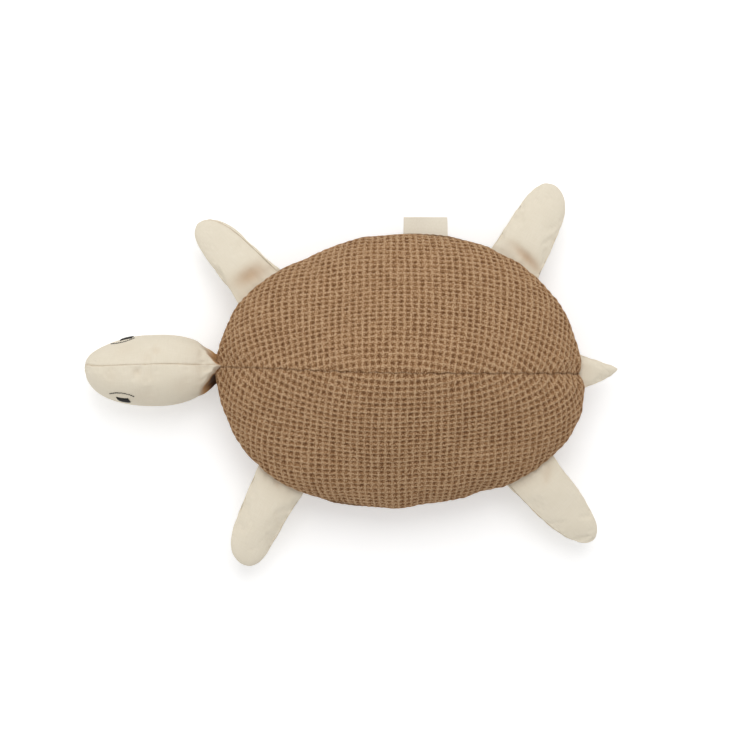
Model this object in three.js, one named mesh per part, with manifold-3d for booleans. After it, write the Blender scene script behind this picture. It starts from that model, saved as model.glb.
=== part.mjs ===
// A stuffed turtle cushion lying belly down. Its oval body has two waffle-cotton crown panels over a belly
// panel, and a canvas head, four flippers, a tail and a folded side label are sewn into the rim seam.
// Millimetres, +Z up, head towards -X. The origin is the middle of the belly's resting face.
import * as THREE from "three";
import { mergeVertices } from "three/addons/utils/BufferGeometryUtils.js";
import Module from "manifold-3d";

// Fabrics and seams
const waffleThickness = 2.4; // waffle cotton of the body
const canvasThickness = 0.9; // canvas of the head, flippers and tail
const seamGap = 0.3; // between two panels along their seam
const fillingGap = 0.3; // between a skin and the filling it holds
const limbSeat = 0.35; // from the rim seam to a limb's root edge
const foldReach = 2; // from a limb's root edge to the line that it folds along
const neckSeat = 0.3; // from the neck to the hollow it sits in

// Body
const bodyLength = 368; // neck to tail, at the rim seam
const bodyWidth = 274;
const rimHeight = 46; // floor to rim seam
const crownHeight = 104; // rim seam to the top of the centre seam
const crownSpread = 1.15; // over 1; nearer 1 is rounder and steeper at the rim
const ridgeShare = 0.35; // how far the centre seam draws the crown up into a ridge
const bellyDepth = 52; // of the belly as stuffed, before the floor presses it flat
const bellySpread = 1.12;

// Head: an egg that narrows to a round neck
const headLength = 124; // neck centre to nose
const headWidth = 71;
const headHeight = 76;
const headWidest = 0.41 * headLength; // neck centre to the widest ring
const noseFullness = 2.2; // 2 is an ellipse, more is blunter
const neckWidth = 43;
const neckHeight = 30;
const neckReach = 9; // neck centre out from the rim seam
const neckAside = 3; // neck centre to the right of the centre seam
const neckOpening = 40; // degrees; how far round its back the skin leaves the neck open
const headDroop = 3; // degrees, nose down
const headRoll = 9.5; // degrees, crown of the head towards the right side
const headTurn = 1.5; // degrees, nose towards the left side

// Embroidered eyes
const threadHeight = 0.7;
const threadSeat = 0.2;
const eyeDiameter = 13;
const eyeFromNeck = 0.665 * headLength; // along the head
const eyeAngle = 72; // degrees down from the head's top seam
const eyelidLength = 25;
const eyelidRise = 4.5; // how much the stitched line arches
const eyelidThick = 1.7;
const eyelidFromNeck = 0.67 * headLength;
const eyelidAngle = 54;

// Flippers
const flipperRootWidth = 53;
const flipperTaper = 0.15; // share of the root width lost at the tip, before it rounds off
const flipperRoundFrom = 35; // from the root, where the end starts to round
const flipperThickness = 16;
const flipperFillFrom = 26; // from the root, where the filling reaches its full height
const flipperDroop = 8; // degrees, tip down
// Degrees round the rim seam and off square to it, and the length from the rim seam to the tip
const flippers = {
  front_right: { rimAngle: 141, swing: -0.5, length: 88 },
  rear_right: { rimAngle: 52, swing: 1.3, length: 90 },
  front_left: { rimAngle: -130, swing: 6, length: 98 },
  rear_left: { rimAngle: -45.5, swing: 4.3, length: 96 },
};

// Tail
const tailLength = 33;
const tailRootWidth = 36;
const tailTaper = 0.84;
const tailRoundFrom = 27;
const tailThickness = 9;
const tailFillFrom = 12;
const tailDroop = 4;

// Side label: a ribbon folded once
const labelWidth = 44.5;
const labelLength = 19;
const ribbonThickness = 0.5;
const labelRimAngle = 82.3;
const labelSwing = 5.8;

// How finely the surfaces are drawn
const rimSteps = 48;
const crownRings = [0, 0.16, 0.32, 0.48, 0.63, 0.77, 0.89, 1];
const bellyRings = [0.22, 0.44, 0.65, 0.84, 1]; // shares of the way from the resting face to the rim
const headSteps = 20;
const noseRings = [0.03, 0.12, 0.26, 0.45, 0.68, 0.9]; // shares of the way from nose to widest ring
const neckRings = [0.3, 0.62, 0.86];
const neckCapAngles = [0, 20, neckOpening, 65, 90];
const limbRows = [0, 0.06, 0.15, 0.28, 0.43, 0.58, 0.72, 0.84, 0.93, 0.98, 1];
const limbColumns = [-1, -0.88, -0.62, -0.3, 0, 0.3, 0.62, 0.88, 1];

const radians = THREE.MathUtils.degToRad;
const wasm = await Module();
wasm.setup();

// Solids from grids of points

// Two triangles for each square of a grid of points, turned over where the grid faces inwards.
function gridFaces(grid, facesIn = false) {
  const faces = [];
  for (let row = 0; row + 1 < grid.length; row++) {
    for (let column = 0; column + 1 < grid[row].length; column++) {
      const [a, b] = [grid[row][column], grid[row][column + 1]];
      const [c, d] = [grid[row + 1][column + 1], grid[row + 1][column]];
      faces.push([a, b, c], [a, c, d]);
    }
  }
  return facesIn ? faces.map((face) => face.reverse()) : faces;
}

// The points round a grid's border, in order.
function borderOf(grid) {
  const last = grid.length - 1;
  const end = grid[0].length - 1;
  return [
    ...grid[0].slice(0, end),
    ...grid.slice(0, last).map((row) => row[end]),
    ...grid[last].slice(1).reverse(),
    ...grid.slice(1).reverse().map((row) => row[0]),
  ];
}

// A closed solid between an outer and an inner grid of the same size.
function solidBetween(outer, inner) {
  const faces = [...gridFaces(outer), ...gridFaces(inner, true)];
  const [rim, lining] = [borderOf(outer), borderOf(inner)];
  rim.forEach((point, i) => {
    const next = (i + 1) % rim.length;
    faces.push([rim[next], point, lining[i]], [rim[next], lining[i], lining[next]]);
  });
  return solidFromFaces(faces);
}

// A closed solid from one grid whose sides meet and whose ends run to a point.
function solidInside(grid) {
  return solidFromFaces(gridFaces(grid));
}

function solidFromFaces(faces) {
  const geometry = new THREE.BufferGeometry();
  geometry.setAttribute("position", new THREE.Float32BufferAttribute(faces.flat(2), 3));
  return solidFromGeometry(geometry);
}

function solidFromGeometry(geometry) {
  const bare = geometry.clone();
  bare.deleteAttribute("normal");
  bare.deleteAttribute("uv");
  const merged = mergeVertices(bare, 1e-3);
  const corners = Array.from(merged.index.array);
  const triVerts = [];
  for (let i = 0; i < corners.length; i += 3) {
    const [a, b, c] = corners.slice(i, i + 3);
    if (a !== b && b !== c && c !== a) triVerts.push(a, b, c);
  }
  const build = (indices) =>
    new wasm.Manifold(
      new wasm.Mesh({
        numProp: 3,
        vertProperties: new Float32Array(merged.attributes.position.array),
        triVerts: new Uint32Array(indices),
      }),
    );
  const solid = build(triVerts);
  return solid.volume() > 0 ? solid : build(triVerts.reverse());
}

function geometryOf(solid) {
  const { numProp, numVert, vertProperties, triVerts } = solid.getMesh();
  const positions = new Float32Array(numVert * 3);
  for (let i = 0; i < numVert; i++) {
    positions.set(vertProperties.subarray(i * numProp, i * numProp + 3), i * 3);
  }
  const geometry = new THREE.BufferGeometry();
  geometry.setAttribute("position", new THREE.BufferAttribute(positions, 3));
  geometry.setIndex(new THREE.BufferAttribute(triVerts, 1));
  geometry.computeVertexNormals();
  return geometry;
}

function transformed(solid, matrix) {
  return solidFromGeometry(geometryOf(solid).applyMatrix4(matrix));
}

// Materials
const waffleCotton = new THREE.MeshStandardMaterial({ color: 0x97785b, roughness: 0.95, metalness: 0 });
const creamCanvas = new THREE.MeshStandardMaterial({ color: 0xe3dac7, roughness: 0.9, metalness: 0 });
const blackThread = new THREE.MeshStandardMaterial({ color: 0x1d1b1a, roughness: 0.7, metalness: 0 });
const labelRibbon = new THREE.MeshStandardMaterial({ color: 0xdfd4c0, roughness: 0.85, metalness: 0 });
const fibreFilling = new THREE.MeshStandardMaterial({ color: 0xf4f2ec, roughness: 1, metalness: 0 });

const turtle = new THREE.Group();

function addPiece(parent, name, solid, material) {
  const mesh = new THREE.Mesh(geometryOf(solid), material);
  mesh.name = name;
  parent.add(mesh);
  return mesh;
}

// Body

// Height of a crown shaped as an arc: 1 in the middle, and 0 at the rim, which it meets at a slant.
function arcCrown(t, spread) {
  const foot = Math.sqrt(spread ** 2 - 1);
  return (Math.sqrt(spread ** 2 - Math.min(t, 1) ** 2) - foot) / (spread - foot);
}

// A point of the body's surface at an angle and share of the way out to the rim, grown outwards by grow.
function crownPoint(angle, share, grow) {
  const [along, across] = [share * Math.cos(angle), share * Math.sin(angle)];
  const halfWidthHere = Math.sqrt(Math.max(1 - along ** 2, 1e-9));
  const round = arcCrown(share, crownSpread);
  const ridge = arcCrown(Math.abs(along), crownSpread) * (1 - Math.min(Math.abs(across) / halfWidthHere, 1));
  return [
    (bodyLength / 2 + grow) * along,
    (bodyWidth / 2 + grow) * across,
    rimHeight + (crownHeight + grow) * ((1 - ridgeShare) * round + ridgeShare * ridge),
  ];
}

function bellyPoint(angle, share, grow) {
  const hanging = rimHeight - (bellyDepth + grow) * arcCrown(share, bellySpread);
  return [
    (bodyLength / 2 + grow) * share * Math.cos(angle),
    (bodyWidth / 2 + grow) * share * Math.sin(angle),
    Math.max(hanging, -grow),
  ];
}

// The share of the way out at which the hanging belly leaves the floor.
function restingShare() {
  const foot = Math.sqrt(bellySpread ** 2 - 1);
  const lift = (rimHeight / bellyDepth) * (bellySpread - foot) + foot;
  return Math.sqrt(bellySpread ** 2 - lift ** 2);
}

const resting = restingShare();
const hangingShares = bellyRings.map((ring) => resting + ring * (1 - resting));
const bellyShares = [0, resting / 2, resting, ...hangingShares];

function shifted(grid, offset) {
  return grid.map((row) => row.map((point) => point.map((value, axis) => value + offset[axis])));
}

function anglesBetween(from, to, steps) {
  return Array.from({ length: steps + 1 }, (_, i) => from + ((to - from) * i) / steps);
}

function ringGrid(pointAt, shares, angles, grow) {
  return shares.map((share) => angles.map((angle) => pointAt(angle, share, grow)));
}

const allRound = anglesBetween(0, 2 * Math.PI, rimSteps);

function crownPanel(side) {
  const from = side > 0 ? 0 : Math.PI;
  const angles = anglesBetween(from, from + Math.PI, rimSteps / 2);
  const apart = [0, (side * seamGap) / 2, seamGap / 2];
  const gridAt = (grow) => shifted(ringGrid(crownPoint, crownRings, angles, grow), apart);
  return solidBetween(gridAt(0), gridAt(-waffleThickness));
}

function bellyPanel() {
  const gridAt = (grow) =>
    shifted(ringGrid(bellyPoint, bellyShares, allRound, grow), [0, 0, -seamGap / 2]).map((row) =>
      row.map(([x, y, z]) => [x, y, Math.max(z, -grow)]),
    );
  const [outer, inner] = [gridAt(0), gridAt(-waffleThickness)];
  const edge = [outer.at(-1), inner.at(-1)];
  return solidFromFaces([...gridFaces(outer), ...gridFaces(inner, true), ...gridFaces(edge)]);
}

function bodyFilling() {
  const grow = -waffleThickness - fillingGap;
  const crown = ringGrid(crownPoint, crownRings, allRound, grow);
  const belly = ringGrid(bellyPoint, bellyShares, allRound, grow);
  return solidInside([...crown, ...belly.slice(0, -1).reverse()]);
}

// Head, in its own frame: +X from the neck centre to the nose, +Z to the crown of the head

// Half size of the head's ring at a distance from the neck, given its widest and neck half sizes.
function ringSize(distance, widest, neck, grow) {
  if (distance < headWidest) {
    const rear = headWidest / Math.sqrt(1 - (neck / widest) ** 2);
    return widest * Math.sqrt(1 - ((headWidest - distance) / rear) ** 2) + grow;
  }
  const out = Math.min((distance - headWidest) / (headLength - headWidest), 1);
  return (widest + grow) * Math.pow(1 - Math.pow(out, noseFullness), 1 / noseFullness);
}

// A point of the head's skin: distance along the head, and angle down from its top seam towards +Y.
function headPoint(distance, angle, grow) {
  const halfWidth = ringSize(distance, headWidth / 2, neckWidth / 2, grow);
  const halfHeight = ringSize(distance, headHeight / 2, neckHeight / 2, grow);
  const past = grow * Math.max((distance - headWidest) / (headLength - headWidest), 0);
  return [distance + past, halfWidth * Math.sin(angle), halfHeight * Math.cos(angle)];
}

// A point of the neck, which turns about the Y axis without changing shape.
function neckPoint(capAngle, angle, grow) {
  const [wide, high] = [neckWidth / 2 + grow, neckHeight / 2 + grow];
  const [back, ring] = [Math.sin(capAngle), Math.cos(capAngle)];
  return [-high * back, wide * ring * Math.sin(angle), high * ring * Math.cos(angle)];
}

function headGrid(angles, grow, capAngles) {
  const distances = [
    ...neckRings.map((share) => share * headWidest),
    ...noseRings.map((share) => headLength - share ** 2 * (headLength - headWidest)).reverse(),
    headLength,
  ];
  return [
    ...[...capAngles].reverse().map((cap) => angles.map((angle) => neckPoint(radians(cap), angle, grow))),
    ...distances.map((distance) => angles.map((angle) => headPoint(distance, angle, grow))),
  ];
}

function headPanel(side) {
  const openCap = neckCapAngles.filter((angle) => angle <= neckOpening);
  const from = side > 0 ? 0 : Math.PI;
  const angles = anglesBetween(from, from + Math.PI, headSteps / 2);
  const gridAt = (grow) => shifted(headGrid(angles, grow, openCap), [0, (side * seamGap) / 2, 0]);
  return solidBetween(gridAt(0), gridAt(-canvasThickness));
}

// The whole head with its skin's facets, shrunk or grown.
function wholeHead(grow) {
  return solidInside(headGrid(anglesBetween(0, 2 * Math.PI, headSteps), grow, neckCapAngles));
}

// The hollow that the neck turns in, in the head's frame.
function neckHollow() {
  const caps = anglesBetween(-Math.PI / 2, Math.PI / 2, headSteps);
  const angles = anglesBetween(0, 2 * Math.PI, headSteps * 2);
  return solidInside(caps.map((cap) => angles.map((angle) => neckPoint(cap, angle, neckSeat))));
}

// A stitched patch on one side of the head, from rows of [along, around] in millimetres from its middle.
function stitchedPatch(side, fromNeck, downAngle, rows) {
  const place = ([along, around], grow) => {
    const distance = fromNeck + along;
    const reach = ringSize(distance, (headWidth + headHeight) / 4, neckHeight / 2, 0);
    return headPoint(distance, side * (radians(downAngle) + around / reach), grow);
  };
  const gridAt = (grow) => rows.map((row) => row.map((spot) => place(spot, grow)));
  const clear = seamGap / 2 + threadSeat;
  return solidBetween(gridAt(clear + threadHeight), gridAt(-headWidth / 10)).subtract(wholeHead(clear));
}

function eyeRows() {
  const steps = 8;
  return Array.from({ length: steps + 1 }, (_, i) => {
    const along = -Math.cos((Math.PI * i) / steps) * (eyeDiameter / 2);
    const half = Math.sqrt(Math.max((eyeDiameter / 2) ** 2 - along ** 2, (eyeDiameter / 20) ** 2));
    return [-1, -0.5, 0, 0.5, 1].map((share) => [along, share * half]);
  });
}

function eyelidRows() {
  const steps = 12;
  return Array.from({ length: steps + 1 }, (_, i) => {
    const share = (2 * i) / steps - 1;
    const arch = eyelidRise * share ** 2;
    return [-0.5, 0.5].map((edge) => [(share * eyelidLength) / 2, arch + edge * eyelidThick]);
  });
}

// Limbs sewn into the rim seam

// Where a limb leaves the rim: its root, the seam's direction there, and the way that the limb points.
function rimPlace(rimAngle, swing) {
  const [a, b, t] = [bodyLength / 2, bodyWidth / 2, radians(rimAngle)];
  const root = new THREE.Vector2(a * Math.cos(t), b * Math.sin(t));
  const square = Math.atan2(Math.sin(t) / b, Math.cos(t) / a);
  return { root, square, heading: square + radians(swing) };
}

// How far a limb's root edge lies from its root point, so that it follows the curved rim seam.
function rootEdge({ root, heading }, across) {
  const [a, b] = [bodyLength / 2 + limbSeat, bodyWidth / 2 + limbSeat];
  const [c, s] = [Math.cos(heading), Math.sin(heading)];
  const [x, y] = [root.x - across * s, root.y + across * c];
  const square = (c / a) ** 2 + (s / b) ** 2;
  const half = (x * c) / a ** 2 + (y * s) / b ** 2;
  const rest = (x / a) ** 2 + (y / b) ** 2 - 1;
  return (-half + Math.sqrt(Math.max(half ** 2 - square * rest, 0))) / square;
}

// The limb's outline and fill: half width and the share of the full fill height at a distance from the root.
function limbShape({ length, rootWidth, taper, roundFrom, fillFrom }) {
  const past = (distance) => Math.min(Math.max((distance - roundFrom) / (length - roundFrom), 0), 1);
  const roundOff = (distance) => Math.sqrt(1 - past(distance) ** 3);
  const puff = (distance) => Math.sin((Math.PI / 2) * Math.min(distance / fillFrom, 1)) ** 1.5;
  return {
    halfWidth: (distance) => (rootWidth / 2) * (1 - (taper * distance) / length) * roundOff(distance),
    fill: (distance) => puff(distance) * roundOff(distance),
  };
}

// A grid over the limb's plan. heightAt turns the skin's outer height into the grid's own.
function limbGrid(limb, place, rows, columns, heightAt) {
  const shape = limbShape(limb);
  const edge = canvasThickness + seamGap / 2;
  return rows.map((row) => {
    const distance = row * limb.length;
    const half = Math.max(shape.halfWidth(distance), limb.rootWidth * 0.02);
    return columns.map((column) => {
      const across = column * half;
      const swell = (limb.thickness / 2 - edge) * shape.fill(distance) * Math.sqrt(1 - column ** 2);
      const follow = rootEdge(place, across) * (1 - row) ** 3;
      return [distance + follow, across, heightAt(edge + swell)];
    });
  });
}

function limbSkin(limb, place, side) {
  const gridAt = (below) =>
    limbGrid(limb, place, limbRows, limbColumns, (height) => side * (height - below));
  return solidBetween(gridAt(0), gridAt(canvasThickness));
}

// The filling stops short of the seams and of the root.
function limbFilling(limb, place) {
  const gridAt = (side) =>
    limbGrid(limb, place, limbRows.slice(1, -1), limbColumns.slice(1, -1), (height) =>
      side * (height - canvasThickness - fillingGap),
    );
  return solidBetween(gridAt(1), gridAt(-1));
}

// The limb's hinge lies in the seam's direction, a little outside the root edge, where the fabric folds.
function addLimb(name, limb, droop, rimAngle, swing) {
  const place = rimPlace(rimAngle, swing);
  const fold = new THREE.Group();
  const seam = new THREE.Vector3(-Math.sin(place.square), Math.cos(place.square), 0);
  const out = new THREE.Vector3(Math.cos(place.square), Math.sin(place.square), 0);
  fold.position.set(place.root.x, place.root.y, rimHeight).addScaledVector(out, limbSeat + foldReach);
  fold.quaternion.setFromAxisAngle(seam, radians(droop));
  const flat = new THREE.Group();
  flat.position.copy(out).multiplyScalar(-limbSeat - foldReach);
  flat.rotation.z = place.heading;
  fold.add(flat);
  turtle.add(fold);
  addPiece(flat, `${name}_upper`, limbSkin(limb, place, 1), creamCanvas);
  addPiece(flat, `${name}_lower`, limbSkin(limb, place, -1), creamCanvas);
  addPiece(flat, `${name}_filling`, limbFilling(limb, place), fibreFilling);
}

// Side label
function labelRibbonFold(place) {
  const [near, far, layer] = [-labelLength / 2, labelLength, ribbonThickness];
  const [inside, outside] = [seamGap / 2, seamGap / 2 + layer];
  const profile = new THREE.Shape();
  profile.moveTo(near, -outside);
  profile.lineTo(far - outside, -outside);
  profile.absarc(far - outside, 0, outside, -Math.PI / 2, Math.PI / 2, false);
  profile.lineTo(near, outside);
  profile.lineTo(near, inside);
  profile.lineTo(far - outside, inside);
  profile.absarc(far - outside, 0, inside, Math.PI / 2, -Math.PI / 2, true);
  profile.lineTo(near, -inside);
  const flat = { bevelEnabled: false };
  const ribbon = new THREE.ExtrudeGeometry(profile, { ...flat, depth: labelWidth, curveSegments: 6 });
  ribbon.translate(0, 0, -labelWidth / 2).rotateX(-Math.PI / 2);
  const rim = new THREE.Shape();
  rim.absellipse(0, 0, bodyLength / 2 + limbSeat, bodyWidth / 2 + limbSeat, 0, 2 * Math.PI, false, 0);
  const rimBlock = new THREE.ExtrudeGeometry(rim, { ...flat, depth: rimHeight, curveSegments: rimSteps * 2 });
  rimBlock.translate(0, 0, -rimHeight / 2);
  const fromLabel = new THREE.Matrix4().makeRotationZ(place.heading);
  fromLabel.setPosition(place.root.x, place.root.y, 0);
  rimBlock.applyMatrix4(fromLabel.invert());
  return solidFromGeometry(ribbon).subtract(solidFromGeometry(rimBlock));
}

// Assembly

const neckCentre = new THREE.Vector3(-bodyLength / 2 - neckReach, neckAside, rimHeight);
const head = new THREE.Group();
head.position.copy(neckCentre);
head.rotation.set(radians(headRoll), radians(headDroop), Math.PI + radians(headTurn), "ZYX");
turtle.add(head);
head.updateMatrixWorld(true);

const hollow = transformed(neckHollow(), head.matrixWorld);
addPiece(turtle, "shell_panel_right", crownPanel(1).subtract(hollow), waffleCotton);
addPiece(turtle, "shell_panel_left", crownPanel(-1).subtract(hollow), waffleCotton);
addPiece(turtle, "belly_panel", bellyPanel().subtract(hollow), waffleCotton);
addPiece(turtle, "body_filling", bodyFilling().subtract(hollow), fibreFilling);

// The head faces -X, so its own +Y side is the turtle's left.
addPiece(head, "head_panel_left", headPanel(1), creamCanvas);
addPiece(head, "head_panel_right", headPanel(-1), creamCanvas);
addPiece(head, "head_filling", wholeHead(-canvasThickness - fillingGap), fibreFilling);
for (const [side, cheek] of [[1, "left"], [-1, "right"]]) {
  const eye = stitchedPatch(side, eyeFromNeck, eyeAngle, eyeRows());
  const eyelid = stitchedPatch(side, eyelidFromNeck, eyelidAngle, eyelidRows());
  addPiece(head, `eye_${cheek}`, eye, blackThread);
  addPiece(head, `eyelid_${cheek}`, eyelid, blackThread);
}

const flipper = {
  rootWidth: flipperRootWidth,
  taper: flipperTaper,
  roundFrom: flipperRoundFrom,
  thickness: flipperThickness,
  fillFrom: flipperFillFrom,
};
for (const [corner, { rimAngle, swing, length }] of Object.entries(flippers)) {
  addLimb(`flipper_${corner}`, { ...flipper, length }, flipperDroop, rimAngle, swing);
}

const tail = {
  length: tailLength,
  rootWidth: tailRootWidth,
  taper: tailTaper,
  roundFrom: tailRoundFrom,
  thickness: tailThickness,
  fillFrom: tailFillFrom,
};
addLimb("tail", tail, tailDroop, 0, 0);

const labelPlace = rimPlace(labelRimAngle, labelSwing);
const label = new THREE.Group();
label.position.set(labelPlace.root.x, labelPlace.root.y, rimHeight);
label.rotation.z = labelPlace.heading;
turtle.add(label);
addPiece(label, "side_label", labelRibbonFold(labelPlace), labelRibbon);

export default turtle;
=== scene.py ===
# %% [markdown]
# # A stuffed turtle cushion
# The toy lies on its belly. An oval body in brown waffle cotton carries a canvas head, four flippers, a
# tail and a small folded label, all sewn into the seam round its rim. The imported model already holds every
# piece at its real size, so this script only dresses it: each cloth panel is drawn again as a fine mesh with
# its own weave, seams and creases.

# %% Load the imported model
import math

import bpy
import numpy as np
from mathutils import Matrix, Vector
from mathutils.bvhtree import BVHTree


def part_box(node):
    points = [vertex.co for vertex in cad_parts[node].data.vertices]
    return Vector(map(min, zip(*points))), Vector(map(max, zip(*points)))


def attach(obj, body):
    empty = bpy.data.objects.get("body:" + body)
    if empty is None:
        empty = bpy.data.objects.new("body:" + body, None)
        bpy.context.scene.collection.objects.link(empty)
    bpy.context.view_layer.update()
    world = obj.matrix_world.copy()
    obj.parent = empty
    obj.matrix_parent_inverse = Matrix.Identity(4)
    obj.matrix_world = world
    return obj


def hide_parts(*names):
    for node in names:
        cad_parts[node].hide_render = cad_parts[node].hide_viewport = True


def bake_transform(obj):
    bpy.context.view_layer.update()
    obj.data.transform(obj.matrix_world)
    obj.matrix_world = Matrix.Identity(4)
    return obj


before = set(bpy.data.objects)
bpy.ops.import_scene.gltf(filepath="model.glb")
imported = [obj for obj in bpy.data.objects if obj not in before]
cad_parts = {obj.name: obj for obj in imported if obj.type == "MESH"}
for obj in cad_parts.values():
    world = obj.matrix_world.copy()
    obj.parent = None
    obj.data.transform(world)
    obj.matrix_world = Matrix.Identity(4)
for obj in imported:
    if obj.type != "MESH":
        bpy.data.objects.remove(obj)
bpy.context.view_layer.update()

MM = 0.001

# %% [markdown]
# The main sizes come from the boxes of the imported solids. The rim seam is the oval where the crown panels
# meet the belly panel, and everything else is placed from it.

# %% Sizes of the body
crown_low, crown_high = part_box("shell_panel_right")
belly_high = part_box("belly_panel")[1]
half_length = crown_high.x
half_width = crown_high.y
rim_height = (crown_low.z + belly_high.z) / 2
crown_height = crown_high.z - rim_height
print("rim oval", half_length, "by", half_width, "at", rim_height, "crown", crown_height)

# %% [markdown]
# ## Camera, floor and light
# The toy was photographed from straight above. A camera two metres over the rim sees it with very little
# perspective. One pixel of the 750 pixel picture is one millimetre at the rim, which sets the lens.

# %% Camera
PICTURE_PIXELS = 750
SENSOR = 36.0
EYE_ABOVE_RIM = 2.0
BODY_RIGHT_OF_CENTRE = 25.9 * MM
BODY_ABOVE_CENTRE = 3.0 * MM


def put_in_scene(name, data):
    """A new object for a mesh, lamp or lens, linked to the scene."""
    made = bpy.data.objects.new(name, data)
    bpy.context.scene.collection.objects.link(made)
    return made


lens = bpy.data.cameras.new("camera")
lens.sensor_width = SENSOR
lens.lens = SENSOR * EYE_ABOVE_RIM / (PICTURE_PIXELS * MM)
camera = put_in_scene("camera", lens)
camera.location = (-BODY_RIGHT_OF_CENTRE, -BODY_ABOVE_CENTRE, rim_height + EYE_ABOVE_RIM)
bpy.context.scene.camera = camera
print("lens", lens.lens, "mm")

# %% [markdown]
# Colours are written as sRGB hex values, as a colour picker gives them. Blender works in linear light, so
# one function turns them over. Another one adds a node to a material, sets it and links it, which keeps
# every material below a short list of nodes. The last one tells rays that see a surface directly from the
# light that falls on the toy.

# %% Colour and node helpers
def linear(hex_colour):
    """An sRGB hex colour as a linear RGBA value."""
    channels = [int(hex_colour[i : i + 2], 16) / 255 for i in (1, 3, 5)]
    return tuple(c / 12.92 if c <= 0.04045 else ((c + 0.055) / 1.055) ** 2.4 for c in channels) + (1.0,)


def add(tree, kind, inputs=None, **settings):
    """Adds a node, sets it, and fills its inputs by name or number. A node gives its first output."""
    made = tree.nodes.new(kind)
    for name, value in settings.items():
        setattr(made, name, value)
    for name, value in (inputs or {}).items():
        if isinstance(value, bpy.types.Node):
            value = next(socket for socket in value.outputs if socket.enabled)
        slot = made.inputs[name] if isinstance(name, int) else next(
            socket for socket in made.inputs if socket.enabled and socket.name == name)
        if isinstance(value, bpy.types.NodeSocket):
            tree.links.new(value, slot)
        else:
            slot.default_value = value
    return made


def new_material(name):
    """An empty node material: its tree and its output node."""
    material = bpy.data.materials.new(name)
    material.use_nodes = True
    material.node_tree.nodes.clear()
    return material, material.node_tree, add(material.node_tree, "ShaderNodeOutputMaterial")


def seen_directly(tree, **settings):
    """Counts a ray from the camera or from a glossy or clear surface, and not the light on the toy."""
    path = add(tree, "ShaderNodeLightPath")
    seen = add(tree, "ShaderNodeMath", {0: path.outputs["Is Camera Ray"], 1: path.outputs["Is Glossy Ray"]},
               operation="ADD")
    return add(tree, "ShaderNodeMath", {0: seen, 1: path.outputs["Is Transmission Ray"]},
               operation="ADD", **settings)


# %% [markdown]
# The floor is white paper. Lit plainly it would come out light grey, so rays from the camera and from
# glossy or clear surfaces see a little added light in it. The toy itself gets no more light from that, and
# its shadow still falls on the paper.

# %% Floor
FLOOR_SIZE = 8.0
FLOOR_GLOW = 0.3
PAPER_DARK = "#f4f4f4"
PAPER_LIGHT = "#f7f7f7"

paper, tree, output = new_material("white_paper")
grain = add(tree, "ShaderNodeTexNoise", {"Scale": 90.0, "Detail": 3.0})
tint = add(tree, "ShaderNodeMix", {"Factor": grain, "A": linear(PAPER_DARK),
                                   "B": linear(PAPER_LIGHT)}, data_type="RGBA")
matte = add(tree, "ShaderNodeBsdfDiffuse", {"Color": tint})
strength = add(tree, "ShaderNodeMath", {0: seen_directly(tree), 1: FLOOR_GLOW}, operation="MULTIPLY")
glow = add(tree, "ShaderNodeEmission", {"Strength": strength})
both = add(tree, "ShaderNodeAddShader", {0: matte, 1: glow})
tree.links.new(both.outputs[0], output.inputs["Surface"])

bpy.ops.mesh.primitive_plane_add(size=FLOOR_SIZE, location=(0, 0, 0))
floor = bpy.context.object
floor.name = "floor"
floor.data.materials.append(paper)
print("floor", FLOOR_SIZE, "m of white paper")

# %% [markdown]
# The studio light is soft and comes a little from the top of the picture: the half of the shell that faces
# that way is lighter, and so is the top of the head. A white world fills in, which seen directly is as white
# as the paper, and a large area lamp gives the direction. A white card, standing low beyond the nose, throws
# some of that light back, so the nose does not darken towards its edge.

# %% Light
WORLD_LEVEL = 0.615
LAMP_POWER = 20.0
LAMP_SIZE = 1.6
LAMP_PLACE = (0.15, 1.1, 1.9)
CARD_POWER = 1.5
CARD_SIZE = 0.8
CARD_PLACE = (-1.2, -0.25, 0.45)

world = bpy.data.worlds.new("studio")
bpy.context.scene.world = world
world.use_nodes = True
tree = world.node_tree
tree.nodes.clear()
seen = seen_directly(tree, use_clamp=True)
strength = add(tree, "ShaderNodeMath", {0: seen, 1: 1 - WORLD_LEVEL, 2: WORLD_LEVEL},
               operation="MULTIPLY_ADD")
sky = add(tree, "ShaderNodeBackground", {"Color": (1, 1, 1, 1), "Strength": strength})
output = add(tree, "ShaderNodeOutputWorld")
tree.links.new(sky.outputs[0], output.inputs["Surface"])

for name, power, size, place in (
    ("softbox", LAMP_POWER, LAMP_SIZE, LAMP_PLACE),
    ("white_card", CARD_POWER, CARD_SIZE, CARD_PLACE),
):
    light = bpy.data.lights.new(name, "AREA")
    light.energy = power
    light.size = size
    lamp = put_in_scene(name, light)
    lamp.location = place
    lamp.rotation_euler = (Vector(place) * -1).to_track_quat("-Z", "Y").to_euler()
bpy.context.scene.view_settings.view_transform = "Standard"
print("world", WORLD_LEVEL, "softbox", LAMP_POWER, "W, white card", CARD_POWER, "W")

# %% [markdown]
# ## Waffle cotton
# The body is a waffle weave in brown cotton. Thicker yarns stand up as a grid of light ribs, and between
# them lie small hollows, which look dark because light hardly reaches their floor. The hollows are real
# geometry, made further down. The material only adds what is smaller than the mesh: a darker floor in each
# hollow and on its slopes, which is partly the yarn's deeper tone and partly painted shade; single fibres,
# whose light specks are a painted highlight; and yarn that varies from rib to rib. Along the seams the
# colour is darkened further, which is painted shade in the seam valleys. Cotton is matte, with a faint sheen
# of loose fibres at the edges.

# %% Waffle cotton material
COTTON_IOR = 1.5
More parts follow.
